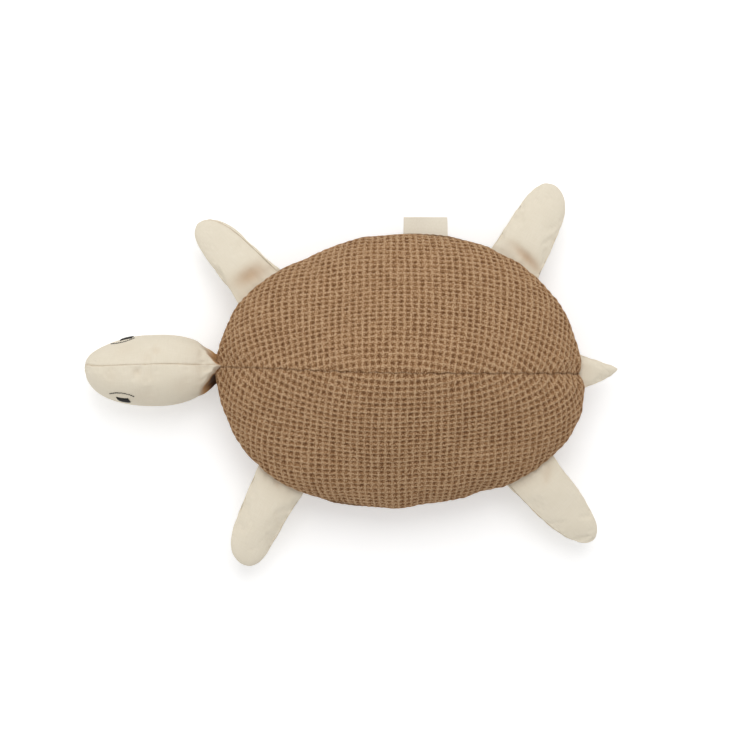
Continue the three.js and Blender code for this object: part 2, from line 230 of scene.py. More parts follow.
# The lightest yarn colour is a painted highlight on the fibres; the slope and hollow colours are the yarn's
# deeper tone with painted shade on top.
YARN_HIGHLIGHT_COLOUR = "#c4a583"
RIB_COLOUR = "#b38f6a"
SLOPE_SHADE_COLOUR = "#946e4a"
HOLLOW_SHADE_COLOUR = "#6a482e"
RIB_SHARPNESS = 0.5  # under 1 the ribs are narrower than the hollows
WANDER_MM = 2.5  # the yarns bend aside from their straight line over this length
FIBRE_MM = 1.2  # a yarn's twist is near 0.4 mm; three times that still shows as a grain in the picture
PATCH_MM = 45  # lighter and darker areas are about this large


def yarn_waves(tree, flat, rates, kind):
    """A wave along each of the two flat coordinates of a cloth, at rates in radians for each unit."""
    turned = add(tree, "ShaderNodeVectorMath", {0: flat, 1: rates}, operation="MULTIPLY")
    parts = add(tree, "ShaderNodeSeparateXYZ", {0: turned})
    return [add(tree, "ShaderNodeMath", {0: parts.outputs[axis]}, operation=kind) for axis in ("X", "Y")]


def waffle_cotton():
    material, tree, output = new_material("brown_waffle_cotton")
    cloth = add(tree, "ShaderNodeUVMap", uv_map="cloth")
    place = add(tree, "ShaderNodeTexCoord")
    wobble = add(tree, "ShaderNodeTexNoise", {
        "Vector": place.outputs["Object"], "Scale": 1 / (WANDER_MM * MM), "Detail": 3.0})
    shift = add(tree, "ShaderNodeVectorMath", {0: wobble.outputs["Color"], 1: (0.5, 0.5, 0.5)},
                operation="SUBTRACT")
    strayed = add(tree, "ShaderNodeVectorMath", {0: shift, 1: (0.45, 0.45, 0.0),
                                                 2: cloth.outputs["UV"]}, operation="MULTIPLY_ADD")
    waves = yarn_waves(tree, strayed, (2 * math.pi,) * 3, "COSINE")
    hollows = [add(tree, "ShaderNodeMath", {0: wave, 1: -0.5, 2: 0.5}, operation="MULTIPLY_ADD")
               for wave in waves]
    hollow = add(tree, "ShaderNodeMath", {0: hollows[0], 1: hollows[1]}, operation="MULTIPLY")
    hollow = add(tree, "ShaderNodeMath", {0: hollow, 1: RIB_SHARPNESS}, operation="POWER")
    cell = add(tree, "ShaderNodeVectorMath", {0: cloth.outputs["UV"]}, operation="FLOOR")
    chance = add(tree, "ShaderNodeTexWhiteNoise", {"Vector": cell}, noise_dimensions="3D")
    depth = add(tree, "ShaderNodeMapRange", {
        "Value": chance.outputs["Value"], "To Min": 0.72, "To Max": 1.1})
    hollow = add(tree, "ShaderNodeMath", {0: hollow, 1: depth}, operation="MULTIPLY")
    fibre = add(tree, "ShaderNodeTexNoise", {"Vector": place.outputs["Object"], "Scale": 1 / (FIBRE_MM * MM),
                                             "Detail": 4.0, "Roughness": 0.65})
    grain = add(tree, "ShaderNodeMapRange", {"Value": fibre, "From Min": 0.35, "From Max": 0.65,
                                             "To Min": -0.6, "To Max": 0.6}, clamp=False)
    dark = add(tree, "ShaderNodeMath", {0: hollow, 1: 0.85, 2: 0.1}, operation="MULTIPLY_ADD")
    dark = add(tree, "ShaderNodeMath", {0: grain, 1: dark}, operation="ADD")
    # Painted shade and highlight: the ramp darkens the hollows and their slopes and lights up fibre specks
    # on the ribs.
    ramp = add(tree, "ShaderNodeValToRGB", {"Fac": dark})
    ramp.color_ramp.elements[0].color = linear(YARN_HIGHLIGHT_COLOUR)
    ramp.color_ramp.elements[1].color = linear(HOLLOW_SHADE_COLOUR)
    ramp.color_ramp.elements.new(0.2).color = linear(RIB_COLOUR)
    ramp.color_ramp.elements.new(0.55).color = linear(SLOPE_SHADE_COLOUR)
    patches = add(tree, "ShaderNodeTexNoise", {
        "Vector": place.outputs["Object"], "Scale": 1 / (PATCH_MM * MM), "Detail": 3.0})
    level = add(tree, "ShaderNodeMapRange", {"Value": patches, "To Min": 0.93, "To Max": 1.07})
    # Painted shade: the seam mark darkens the cotton in a ragged line, down to half, along the valleys of
    # the seams.
    seam = add(tree, "ShaderNodeAttribute", attribute_name="seam")
    ragged = add(tree, "ShaderNodeMapRange", {"Value": fibre, "From Min": 0.35, "From Max": 0.65,
                                              "To Min": 0.4, "To Max": 1.5}, clamp=False)
    ragged = add(tree, "ShaderNodeMath", {0: seam.outputs["Fac"], 1: ragged}, operation="MULTIPLY")
    shaded = add(tree, "ShaderNodeMapRange", {"Value": ragged, "To Min": 1.0, "To Max": 0.5})
    level = add(tree, "ShaderNodeMath", {0: level, 1: shaded}, operation="MULTIPLY")
    colour = add(tree, "ShaderNodeVectorMath", {0: ramp.outputs["Color"], "Scale": level},
                 operation="SCALE")
    surface = add(tree, "ShaderNodeMath", {0: hollow, 1: -1.2, 2: fibre}, operation="MULTIPLY_ADD")
    bump = add(tree, "ShaderNodeBump", {"Height": surface, "Strength": 0.8, "Distance": 0.6 * MM})
    cotton = add(tree, "ShaderNodeBsdfPrincipled", {
        "Base Color": colour, "Normal": bump, "Roughness": 0.95, "IOR": COTTON_IOR,
        "Specular IOR Level": 0.2, "Sheen Weight": 0.15, "Sheen Roughness": 0.5,
        "Sheen Tint": linear("#cdb092")})
    tree.links.new(cotton.outputs[0], output.inputs["Surface"])
    return material


waffle = waffle_cotton()
print(waffle.name, "ribs", RIB_COLOUR, "hollows", HOLLOW_SHADE_COLOUR)

# %% [markdown]
# ## Cream canvas
# Head, flippers and tail are a plain-woven cotton canvas, unbleached. From this distance it reads as a calm
# cream with a very fine grain and here and there a thicker thread. Real threads lie about 0.45 mm apart,
# which is finer than a pixel of the picture, so the weave is drawn at 0.9 mm. In seams and in the folds next
# to the shell the cream turns tan and then deep brown, by the mark called seam. In the picture that brown is
# light thrown back by the shell. Here part of it is colour on the cloth.

# %% Cream canvas material
CANVAS_COLOUR = "#efe6d5"
CANVAS_DARK = "#e4dac5"
SHELL_GLOW = "#b98d5d"  # the brown light that the shell throws on canvas folded against it
FOLD_SHADE = "#4a2f1b"
THREAD_MM = 0.9
CANVAS_PATCH_MM = 30
SLUB_STRETCHES = ((0.08, 1.2, 0.0), (1.2, 0.08, 0.0))  # thicker threads, long one way and thin the other


def cream_canvas():
    material, tree, output = new_material("unbleached_cotton_canvas")
    cloth = add(tree, "ShaderNodeUVMap", uv_map="cloth")
    place = add(tree, "ShaderNodeTexCoord")
    rates = (math.pi / THREAD_MM, math.pi / THREAD_MM, 0.0)
    waves = yarn_waves(tree, cloth.outputs["UV"], rates, "SINE")
    weave = add(tree, "ShaderNodeMath", {0: waves[0], 1: waves[1]}, operation="MULTIPLY")
    slubs = []
    for stretch in SLUB_STRETCHES:
        along = add(tree, "ShaderNodeVectorMath", {0: cloth.outputs["UV"], 1: stretch}, operation="MULTIPLY")
        slubs.append(add(tree, "ShaderNodeTexNoise", {"Vector": along, "Scale": 1.0, "Detail": 3.0}))
    slub = add(tree, "ShaderNodeMath", {0: slubs[0], 1: slubs[1]}, operation="ADD")
    grain = add(tree, "ShaderNodeMath", {0: weave, 1: 0.12, 2: slub}, operation="MULTIPLY_ADD")
    shade = add(tree, "ShaderNodeMapRange", {"Value": grain, "From Min": 0.6, "From Max": 1.4})
    patches = add(tree, "ShaderNodeTexNoise", {
        "Vector": place.outputs["Object"], "Scale": 1 / (CANVAS_PATCH_MM * MM), "Detail": 2.0})
    shade = add(tree, "ShaderNodeMath", {0: shade, 1: patches}, operation="MULTIPLY")
    body = add(tree, "ShaderNodeMix", {"Factor": shade, "A": linear(CANVAS_DARK),
                                       "B": linear(CANVAS_COLOUR)}, data_type="RGBA")
    # Painted light and shade: the seam mark turns the cream towards the shell's brown glow, and past half of
    # it towards the deep fold shade.
    seam = add(tree, "ShaderNodeAttribute", attribute_name="seam")
    warm = add(tree, "ShaderNodeMapRange", {"Value": seam.outputs["Fac"], "From Max": 0.5})
    colour = add(tree, "ShaderNodeMix", {"Factor": warm, "A": body,
                                         "B": linear(SHELL_GLOW)}, data_type="RGBA")
    deep = add(tree, "ShaderNodeMapRange", {"Value": seam.outputs["Fac"], "From Min": 0.5})
    colour = add(tree, "ShaderNodeMix", {"Factor": deep, "A": colour,
                                         "B": linear(FOLD_SHADE)}, data_type="RGBA")
    bump = add(tree, "ShaderNodeBump", {"Height": grain, "Strength": 0.6, "Distance": 0.4 * MM})
    cotton = add(tree, "ShaderNodeBsdfPrincipled", {
        "Base Color": colour, "Normal": bump, "Roughness": 0.9,
        "IOR": COTTON_IOR, "Specular IOR Level": 0.25, "Sheen Weight": 0.1, "Sheen Roughness": 0.5,
        "Sheen Tint": linear("#f5efe2")})
    tree.links.new(cotton.outputs[0], output.inputs["Surface"])
    return material


canvas = cream_canvas()
print(canvas.name, "thread", THREAD_MM, "mm")

# %% [markdown]
# ## Thread and ribbon
# The eyes are embroidered in black cotton thread. Laid side by side the strands shine a little along their
# length, so they are less matte than the cloth. The label is a woven tape with fine ribs across it.

# %% Thread and ribbon materials
THREAD_DARK = "#0b0a09"
THREAD_LIGHT = "#1c1a18"
TWIST_MM = 0.5
TAPE_DARK = "#e3dac6"
TAPE_LIGHT = "#efe7d8"
TAPE_RIB_MM = 0.7


def embroidery_thread():
    material, tree, output = new_material("black_embroidery_thread")
    place = add(tree, "ShaderNodeTexCoord")
    twist = add(tree, "ShaderNodeTexNoise", {
        "Vector": place.outputs["Object"], "Scale": 1 / (TWIST_MM * MM), "Detail": 3.0})
    colour = add(tree, "ShaderNodeMix", {"Factor": twist, "A": linear(THREAD_DARK),
                                         "B": linear(THREAD_LIGHT)}, data_type="RGBA")
    bump = add(tree, "ShaderNodeBump", {"Height": twist, "Strength": 0.6, "Distance": 0.2 * MM})
    strand = add(tree, "ShaderNodeBsdfPrincipled", {
        "Base Color": colour, "Normal": bump, "Roughness": 0.6,
        "IOR": COTTON_IOR, "Specular IOR Level": 0.2})
    tree.links.new(strand.outputs[0], output.inputs["Surface"])
    return material


def woven_tape():
    material, tree, output = new_material("woven_cotton_tape")
    cloth = add(tree, "ShaderNodeUVMap", uv_map="cloth")
    rates = (math.pi / TAPE_RIB_MM, 2 * math.pi / TAPE_RIB_MM, 0.0)
    waves = yarn_waves(tree, cloth.outputs["UV"], rates, "SINE")
    weave = add(tree, "ShaderNodeMath", {0: waves[0], 1: 0.5, 2: waves[1]}, operation="MULTIPLY_ADD")
    uneven = add(tree, "ShaderNodeTexNoise", {"Vector": cloth.outputs["UV"], "Scale": 0.6, "Detail": 3.0})
    height = add(tree, "ShaderNodeMath", {0: weave, 1: 0.25, 2: uneven}, operation="MULTIPLY_ADD")
    colour = add(tree, "ShaderNodeMix", {"Factor": height, "A": linear(TAPE_DARK),
                                         "B": linear(TAPE_LIGHT)}, data_type="RGBA")
    bump = add(tree, "ShaderNodeBump", {"Height": height, "Strength": 0.5, "Distance": 0.2 * MM})
    tape = add(tree, "ShaderNodeBsdfPrincipled", {
        "Base Color": colour, "Normal": bump, "Roughness": 0.85,
        "IOR": COTTON_IOR, "Specular IOR Level": 0.3, "Sheen Weight": 0.1})
    tree.links.new(tape.outputs[0], output.inputs["Surface"])
    return material


thread = embroidery_thread()
tape = woven_tape()
print(thread.name, tape.name)

# %% [markdown]
# ## Cloth panels as meshes
# Every panel is a grid of points: rows and columns that follow its seams. The outer face keeps all of them,
# because the weave and the creases are in it. The inner face is never seen closely, so it keeps each fourth
# point, and on the head each second one, one cloth thickness further in. A strip along the border joins the
# two. The result is a closed sheet with a real thickness. A second layer of coordinates, called cloth, says
# where each point lay on the flat cloth, so that a weave drawn with it follows the threads.

# %% Panel helpers
def units(vectors):
    """The vectors at length one."""
    return vectors / np.maximum(np.linalg.norm(vectors, axis=-1, keepdims=True), 1e-12)


def grid_normals(points):
    """The outward normal at each point of a grid whose rows and columns turn left to each other."""
    return units(np.cross(np.gradient(points, axis=1), np.gradient(points, axis=0)))


def grid_quads(index):
    """The four corners of each small face of a grid."""
    corners = [index[:-1, :-1], index[:-1, 1:], index[1:, 1:], index[1:, :-1]]
    return np.stack(corners, -1).reshape(-1, 4)


def border_indices(rows, columns):
    """The index pairs round a grid's border, starting at its first corner."""
    top = [(0, c) for c in range(columns - 1)]
    right = [(r, columns - 1) for r in range(rows - 1)]
    bottom = [(rows - 1, c) for c in range(columns - 1, 0, -1)]
    left = [(r, 0) for r in range(rows - 1, 0, -1)]
    return top + right + bottom + left


def cloth_panel(name, points, cloth, thickness, material, seam=None, step=4):
    """A closed sheet of cloth over a grid of outer points, with its place on the flat cloth as UV."""
    rows, columns = points.shape[:2]
    lining = (points - grid_normals(points) * thickness)[::step, ::step]
    outer_index = np.arange(rows * columns).reshape(rows, columns)
    inner_index = rows * columns + np.arange(lining[..., 0].size).reshape(lining.shape[:2])
    edge = [outer_index[spot] for spot in border_indices(rows, columns)]
    lined = [inner_index[spot] for spot in border_indices(*lining.shape[:2])]
    strip = []
    for i in range(len(lined)):
        run = [edge[(i * step + k) % len(edge)] for k in range(step + 1)]
        strip.append([lined[i], lined[(i + 1) % len(lined)]] + run[::-1])
    faces = grid_quads(outer_index).tolist() + grid_quads(inner_index)[:, ::-1].tolist() + strip
    mesh = bpy.data.meshes.new(name)
    corners = np.concatenate([points.reshape(-1, 3), lining.reshape(-1, 3)])
    mesh.from_pydata(corners, [], faces)
    flat = np.concatenate([cloth.reshape(-1, 2), cloth[::step, ::step].reshape(-1, 2)])
    loops = np.zeros(len(mesh.loops), np.int32)
    mesh.loops.foreach_get("vertex_index", loops)
    layer = mesh.uv_layers.new(name="cloth")
    layer.data.foreach_set("uv", flat[loops].astype(np.float32).ravel())
    marks = np.zeros(len(corners), np.float32)
    if seam is not None:
        marks[: rows * columns] = seam.ravel()
    mesh.attributes.new("seam", "FLOAT", "POINT").data.foreach_set("value", marks)
    mesh.shade_smooth()
    mesh.materials.append(material)
    return put_in_scene(name, mesh)


def ripple(points, size, seed, waves=14):
    """Smooth unevenness between about -1 and 1 over any points, with humps of roughly the given size."""
    chance = np.random.default_rng(seed)
    total = np.zeros(points.shape[:-1])
    for _ in range(waves):
        way = chance.normal(size=points.shape[-1])
        way *= chance.uniform(0.6, 1.5) * math.pi / (size * np.linalg.norm(way))
        total += np.sin(points @ way + chance.uniform(0, 2 * math.pi))
    return total / math.sqrt(waves)


def bell(distance, width):
    """One at zero distance, falling smoothly to nothing beyond about twice the width."""
    return np.exp(-((distance / width) ** 2))


# %% [markdown]
# ## Letting the cloth settle
# A formula gives a panel its shape, but not the way real cloth gives under its stuffing. So each panel also
# goes through Blender's cloth simulation: a coarse copy of it is pinned along its seams, cut a little larger
# than its place, and pushed out by a gentle pressure for twenty steps. How far each point moved is then
# passed on to the fine panel, up to a cap, so the broad puckers beside the seams are the cloth's own.

# %% Settling cloth
SETTLING_STEPS = 20
PRESSURE = 4.0
SETTLE_CAP = 3 * MM


def in_between(count, step):
    """Weights that turn coarse samples into smooth values at every fine point between them."""
    fine = np.arange((count - 1) * step + 1)[:, None] / step
    away = np.abs(fine - np.arange(count)[None, :])
    near = 1.5 * away**3 - 2.5 * away**2 + 1
    far = -0.5 * away**3 + 2.5 * away**2 - 4 * away + 2
    weights = np.where(away < 1, near, np.where(away < 2, far, 0))
    return weights / weights.sum(axis=1, keepdims=True)


def settling(points, step, slack):
    """How far each point of a panel moves while the cloth between its seams settles."""
    start = points[::step, ::step]
    rows, columns = start.shape[:2]
    index = np.arange(rows * columns).reshape(rows, columns)
    mesh = bpy.data.meshes.new("settling")
    mesh.from_pydata(start.reshape(-1, 3), [], grid_quads(index).tolist())
    sheet = put_in_scene("settling", mesh)
    seams = sheet.vertex_groups.new(name="seams")
    seams.add([int(index[spot]) for spot in border_indices(rows, columns)], 1.0, "REPLACE")
    cloth = sheet.modifiers.new("cloth", "CLOTH").settings
    cloth.vertex_group_mass = "seams"
    cloth.use_pressure = True
    cloth.uniform_pressure_force = PRESSURE
    cloth.shrink_min = -slack
    cloth.effector_weights.gravity = 0
    for moment in range(1, SETTLING_STEPS + 1):
        bpy.context.scene.frame_set(moment)
    worn = sheet.evaluated_get(bpy.context.evaluated_depsgraph_get())
    ended = np.zeros(start.size, np.float32)
    worn.data.vertices.foreach_get("co", ended)
    moved = ended.reshape(start.shape) - start
    bpy.data.objects.remove(sheet)
    bpy.data.meshes.remove(mesh)
    bpy.context.scene.frame_set(1)
    far = np.linalg.norm(moved, axis=-1, keepdims=True)
    print("settled", rows, "by", columns, "points: mean", round(float(far.mean()) / MM, 2), "mm, most",
          round(float(far.max()) / MM, 2), "mm")
    moved = moved * SETTLE_CAP * np.tanh(far / SETTLE_CAP) / np.maximum(far, 1e-9)
    return np.einsum("ri,ijk,cj->rck", in_between(rows, step), moved, in_between(columns, step))


# %% [markdown]
# ## The shape of the crown
# Two waffle panels meet along the middle of the back. Stuffing pushes them up into a dome, a little pointed
# where the seam holds them. The height formula is the same as in the solids: an arc over the oval, plus a
# ridge under the seam.

# %% Crown and belly heights
CROWN_SPREAD = 1.15
RIDGE_SHARE = 0.35
BELLY_DEPTH = 52 * MM
BELLY_SPREAD = 1.12


def arc(share, spread):
    """Height of an arc that is 1 in the middle and 0 at share 1, which it meets at a slant."""
    foot = math.sqrt(spread**2 - 1)
    return (np.sqrt(spread**2 - np.minimum(share, 1) ** 2) - foot) / (spread - foot)


def crown_surface(along, across):
    """Points of the crown from shares of the half length and half width."""
    share = np.hypot(along, across)
    room = np.sqrt(np.maximum(1 - along**2, 1e-9))
    ridge = arc(np.abs(along), CROWN_SPREAD) * (1 - np.minimum(np.abs(across) / room, 1))
    height = (1 - RIDGE_SHARE) * arc(share, CROWN_SPREAD) + RIDGE_SHARE * ridge
    return np.stack([half_length * along, half_width * across, rim_height + crown_height * height], -1)


def belly_surface(along, across):
    """Points of the belly, which the floor presses flat."""
    hanging = rim_height - BELLY_DEPTH * arc(np.hypot(along, across), BELLY_SPREAD)
    return np.stack([half_length * along, half_width * across, np.maximum(hanging, 0)], -1)


def oval_grid(rows, columns, low):
    """Shares of the half sizes over an oval, or over half of it, with no point where grid lines gather."""
    u, v = np.meshgrid(np.linspace(-1, 1, columns), np.linspace(low, 1, rows))
    return u * np.sqrt(1 - v**2 / 2), v * np.sqrt(1 - u**2 / 2)


# %% [markdown]
# A hand-stuffed oval is never exact. Seen from above the body is fuller at its shoulders and hips and a
# little slimmer in between, by up to six per cent. Each of these is one soft swelling round the rim. At the
# head and the tail the crown hangs over the rim seam. Along both flanks the seam has rolled up a little, so
# a strip of the belly panel shows beside it.

# %% Hand-stuffed outline
RIM_SWELLS = [  # degrees round the oval from the tail, share of the radius, degrees wide
    (0, -0.052, 32), (67, 0.037, 25), (122, -0.030, 13), (181, 0.024, 6),
    (234, 0.033, 27), (280, -0.042, 9), (295.5, -0.041, 7), (344, 0.056, 27),
    (166, -0.007, 5), (201, -0.008, 5),
]
RIM_ROLLS = [(77, 26), (255, 17)]  # degrees round the oval from the tail, degrees wide
ROLL_UP = 4.5 * MM
ROLL_IN = 1.5 * MM
TUCK_DEPTH = 1.5 * MM
TUCK_WIDTH = 2.6 * MM


def degrees_apart(turn, middle):
    """The way from one direction to another in degrees, between -180 and 180."""
    return (turn - middle + 180) % 360 - 180


def angle_round(points):
    """Degrees round the oval from the tail."""
    return np.degrees(np.arctan2(points[..., 1] / half_width, points[..., 0] / half_length))


def rim_gap(points):
    """Rough distance of each point from the rim oval, seen from above."""
    share = np.hypot(points[..., 0] / half_length, points[..., 1] / half_width)
    return (1 - np.minimum(share, 1)) * (half_length + half_width) / 2


def rolled(points):
    """One where the rim seam has rolled up onto the side, nothing where the crown hides it."""
    turn = angle_round(points)
    return sum(bell(degrees_apart(turn, middle), wide) for middle, wide in RIM_ROLLS)


def seam_aside(x):
    """How far the middle seam lies off the middle, towards the right side, at a place along the body."""
    return 6.5 * MM * bell(x + half_length, 110 * MM) - 1.7 * MM


def stuffed(shape, points):
    """Moves points of the body with its hand-stuffed outline. The bare shape tells where each one lies."""
    turn, gap = angle_round(shape), rim_gap(shape)
    share = np.hypot(shape[..., 0] / half_length, shape[..., 1] / half_width)
    swell = sum(amount * bell(degrees_apart(turn, middle), wide) for middle, amount, wide in RIM_SWELLS)
    roll = rolled(shape) * bell(gap, 14 * MM)
    inwards = (TUCK_DEPTH * bell(gap, TUCK_WIDTH) + ROLL_IN * roll) / half_width
    out = points.copy()
    out[..., :2] *= (1 + swell * share**2 - inwards)[..., None]
    out[..., 1] += seam_aside(shape[..., 0]) * bell(shape[..., 1], 30 * MM)
    out[..., 2] += ROLL_UP * roll
    return out


# %% [markdown]
# ## Where the threads run
# The panels were cut from flat cloth and then forced into a dome, so the grid of the weave is not straight
# in the picture. Rows run level in the middle of each panel but climb towards the middle of the back at both
# ends, because the seam edge was cut as a curve. They lie close together down the flanks and open out over
# the crest, where the cloth is stretched. Columns are widest apart in the middle. These few rules give each
# point its column and row.

# %% Column and row of each point
COLUMN_MIDDLE = 6.73 * MM  # from rib to rib, along the body
COLUMN_REACH = 685 * MM  # how slowly columns crowd towards the ends
ROW_FLANK = 4.2 * MM  # from rib to rib on the flanks, as seen from above
ROW_CREST = 6.4 * MM  # and over the crest
CREST_REACH = 35 * MM
ROW_REACH = 680 * MM  # how slowly rows crowd towards the ends
LEVEL_AT = -8 * MM  # where along the body the rows run level
CLIMB = 620 * MM  # the smaller, the more the rows climb to the seam away from there
CLIMB_FADE = 69 * MM  # from the seam, where half of that climb is left
FLANK_MIDDLE = 66 * MM  # where columns stand widest
COLUMN_PINCH = 0.08
LEAN_REACH = 127 * MM


def columns_and_rows(x, y, lean):
    """Column and row of the waffle at a place x along the body and y out from the middle seam."""
    climb = (x - LEVEL_AT) ** 2 / CLIMB / (1 + y / CLIMB_FADE)
    crowding = (1 / ROW_FLANK - 1 / ROW_CREST) * math.sqrt(math.pi) / 2 * CREST_REACH
    near_crest = np.vectorize(math.erf)((y + 0.6 * climb) / CREST_REACH)
    row = (y + climb) / ROW_FLANK * (1 + (x / ROW_REACH) ** 2) - crowding * near_crest
    x = (x + lean * y * bell(y, LEAN_REACH)) / (1 - COLUMN_PINCH * (y / FLANK_MIDDLE - 1) ** 2)
    column = x / COLUMN_MIDDLE * (1 + (x / COLUMN_REACH) ** 2)
    return column, row


def past_the_shoulder(along, across):
    """How much further out a point lies on the cloth than it looks from above, near the steep rim."""
    share = np.hypot(along, across)
    return 1 + 0.03 * np.maximum((share - 0.75) / 0.25, 0) ** 3


# %% [markdown]
# The hollows of the waffle are pressed into the mesh. Each is a soft pit, as deep as the ribs are thick, and
# no two are quite alike. Over the ribs runs the finer unevenness of the yarn.

# %% Waffle relief
PIT_DEPTH = 1.7 * MM
PIT_SHARPNESS = 0.8


def waffle_relief(column, row, seed):
    """Depth of the weave at each point, from 0 on the ribs down to the floor of a hollow."""
    flat = np.stack([column, row], -1)
    column = column + 0.06 * ripple(flat, 2.3, seed)
    row = row + 0.06 * ripple(flat, 2.3, seed + 1)
    pit = (np.sin(math.pi * column) ** 2 * np.sin(math.pi * row) ** 2) ** PIT_SHARPNESS
    chance = np.random.default_rng(seed)
    uneven = chance.uniform(0.65, 1.1, size=(199, 199))
    spot = np.floor(column).astype(int) % 199, np.floor(row).astype(int) % 199
    return -PIT_DEPTH * pit * uneven[spot] + 0.12 * MM * ripple(flat, 0.6, seed + 2)


# %% [markdown]
# ## Crown panels
# Each panel runs from the middle seam down to the rim. Along the middle the two edges are sewn together and
# pulled down into a narrow valley that wavers a little. At the rim the cloth turns in to its seam, and the
# tension of the stitches draws small puckers across it. Between the seams the stuffing rounds the panel out.

# %% Crown panels
CROWN_ROWS = 185
CROWN_COLUMNS = 481
WAFFLE_THICKNESS = 2.4 * MM
SEAM_DEPTH = 1.8 * MM
SEAM_WIDTH = 1.1 * MM
CROWN_OVERHANG = 5.8 * MM
CROWN_SLACK = 0.008
OVERHANG_REACH = 8 * MM
LUMP_HEIGHT = 1.1 * MM  # unevenness of the stuffing
LUMP_SIZE = 60 * MM
LUMP_FADE = 25 * MM  # from the seams inwards
PUCKER_HEIGHT = 0.7 * MM
NECK_TURN = 181  # degrees round the oval from the tail
NECK_HOLD = 6  # degrees on each side of the neck where the crown overhangs the rim less
OVERHANG_FADE = 12 * MM  # from the middle seam to where the overhang is full
FLAT_AT_SEAM = 2 * MM  # weave and puckers fade in over this from a seam
SEAM_WAVER = 0.6 * MM  # how far the valley wanders sideways


def bulge(gap, amount, reach):
    """Cloth that swells out right beside the seam that holds it, and levels off again far from it."""
    near = np.clip(gap / reach, 0, 1)
    far = np.clip((gap - 2 * reach) / (6 * reach), 0, 1)
    return amount * np.sqrt(1 - (1 - near) ** 2) * (1 - far**2 * (3 - 2 * far))


def rim_puckers(points, seed):
    """Small folds that stand square to the rim and fade within a centimetre or two."""
    angle = np.arctan2(points[..., 1] / half_width, points[..., 0] / half_length)
    round_rim = np.stack([np.cos(angle), np.sin(angle)], -1)
    return ripple(round_rim, 0.12, seed) * np.exp(-rim_gap(points) / (9 * MM))


def crown_panel(name, side, lean, seed):
    along, across = oval_grid(CROWN_ROWS, CROWN_COLUMNS, 0)
    share = np.hypot(along, across)
    points = crown_surface(along, side * across)
    spread = past_the_shoulder(along, across)
    column, row = columns_and_rows(along * spread * half_length, across * spread * half_width, lean)
    if side < 0:
        points, column, row = points[:, ::-1], column[:, ::-1], row[:, ::-1]
        share, along, across = share[:, ::-1], along[:, ::-1], across[:, ::-1]
    shape = points
    normals = grid_normals(shape)
    from_seam = across * half_width
    from_rim = rim_gap(shape)
    held = np.minimum(from_rim / FLAT_AT_SEAM, 1) * np.minimum(from_seam / FLAT_AT_SEAM, 1)
    shows = np.minimum(rolled(shape), 1)
    at_neck = bell(degrees_apart(angle_round(shape), NECK_TURN), NECK_HOLD)
    height = bulge(from_rim, CROWN_OVERHANG, OVERHANG_REACH) * (1 - 0.7 * shows) * (1 - 0.8 * at_neck)
    height *= np.minimum(from_seam / OVERHANG_FADE, 1)
    inside = np.minimum(np.minimum(from_rim, from_seam) / LUMP_FADE, 1)
    height += LUMP_HEIGHT * ripple(shape, LUMP_SIZE, seed) * inside
    height += PUCKER_HEIGHT * rim_puckers(shape, seed + 1) * held
    height += waffle_relief(column, row, seed + 2) * held
    points = shape + settling(shape, 8, CROWN_SLACK) + normals * height[..., None]
    points[..., 2] -= SEAM_DEPTH * bell(from_seam, SEAM_WIDTH)
    waver = SEAM_WAVER * ripple(shape[..., :1], 9 * MM, 5) * bell(from_seam, 6 * MM)
    points[..., 1] += waver * np.minimum(from_rim / (10 * MM), 1)
    # Painted shade along the middle seam's valley and along the rim seam where it has rolled up.
    seam = np.maximum(0.6 * bell(from_seam, 0.9 * MM), shows * bell(from_rim, 1.5 * MM))
    cloth = np.stack([column, row], -1)
    return cloth_panel(name, stuffed(shape, points), cloth, WAFFLE_THICKNESS, waffle, seam)


crown_right = crown_panel("crown_panel_right_cloth", 1, -0.053, 11)
crown_left = crown_panel("crown_panel_left_cloth", -1, 0.046, 21)
print("crown panels:", len(crown_right.data.polygons), "faces each")

# %% [markdown]
# ## Belly panel
# One oval of the same cotton closes the body underneath. It bulges out a little below the rim, and its
# weight and the stuffing press it flat on the floor. Its weave runs straight along the body.

# %% Belly panel
BELLY_ROWS = 257
BELLY_COLUMNS = 353
BELLY_FULLNESS = 6.0 * MM
BELLY_SLACK = 0.006
BELLY_COLUMN = 6.6 * MM  # from rib to rib, along the body
BELLY_ROW = 5.6 * MM  # and across it
BELLY_LUMPS = 0.8 * MM  # unevenness of the stuffing
BELLY_LUMP_SIZE = 50 * MM
BELLY_PUCKERS = 0.8 * MM
BELLY_LIFT = 0.2 * MM  # the cloth comes no nearer to the floor than this


def belly_panel():
    along, across = oval_grid(BELLY_ROWS, BELLY_COLUMNS, -1)
    points = belly_surface(along, across)[::-1]
    along, across = along[::-1], across[::-1]
    shape = points
    normals = grid_normals(shape)
    spread = past_the_shoulder(along, across)
    column = along * spread * half_length / BELLY_COLUMN
    row = across * spread * half_width / BELLY_ROW
    from_rim = rim_gap(shape)
    held = np.minimum(from_rim / FLAT_AT_SEAM, 1)
    off_floor = np.clip(shape[..., 2] / (6 * MM), 0, 1)
    height = bulge(from_rim, BELLY_FULLNESS, OVERHANG_REACH) * off_floor
    height += BELLY_LUMPS * ripple(shape, BELLY_LUMP_SIZE, 31) * off_floor * held
    height += BELLY_PUCKERS * rim_puckers(shape, 32) * held
    height += waffle_relief(column, row, 33) * held
    points = stuffed(shape, shape + settling(shape, 8, BELLY_SLACK) + normals * height[..., None])
    points[..., 2] = np.maximum(points[..., 2], BELLY_LIFT)
    # Painted shade along the rim seam.
    seam = bell(from_rim, 1.5 * MM)
    cloth = np.stack([column, row], -1)
    return cloth_panel("belly_panel_cloth", points, cloth, WAFFLE_THICKNESS, waffle, seam)


belly = belly_panel()
print("belly panel:", len(belly.data.polygons), "faces")

for piece, nodes in (
    (crown_right, ["shell_panel_right"]),
    (crown_left, ["shell_panel_left"]),
    (belly, ["belly_panel", "body_filling"]),
):
    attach(piece, "body")
    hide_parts(*nodes)

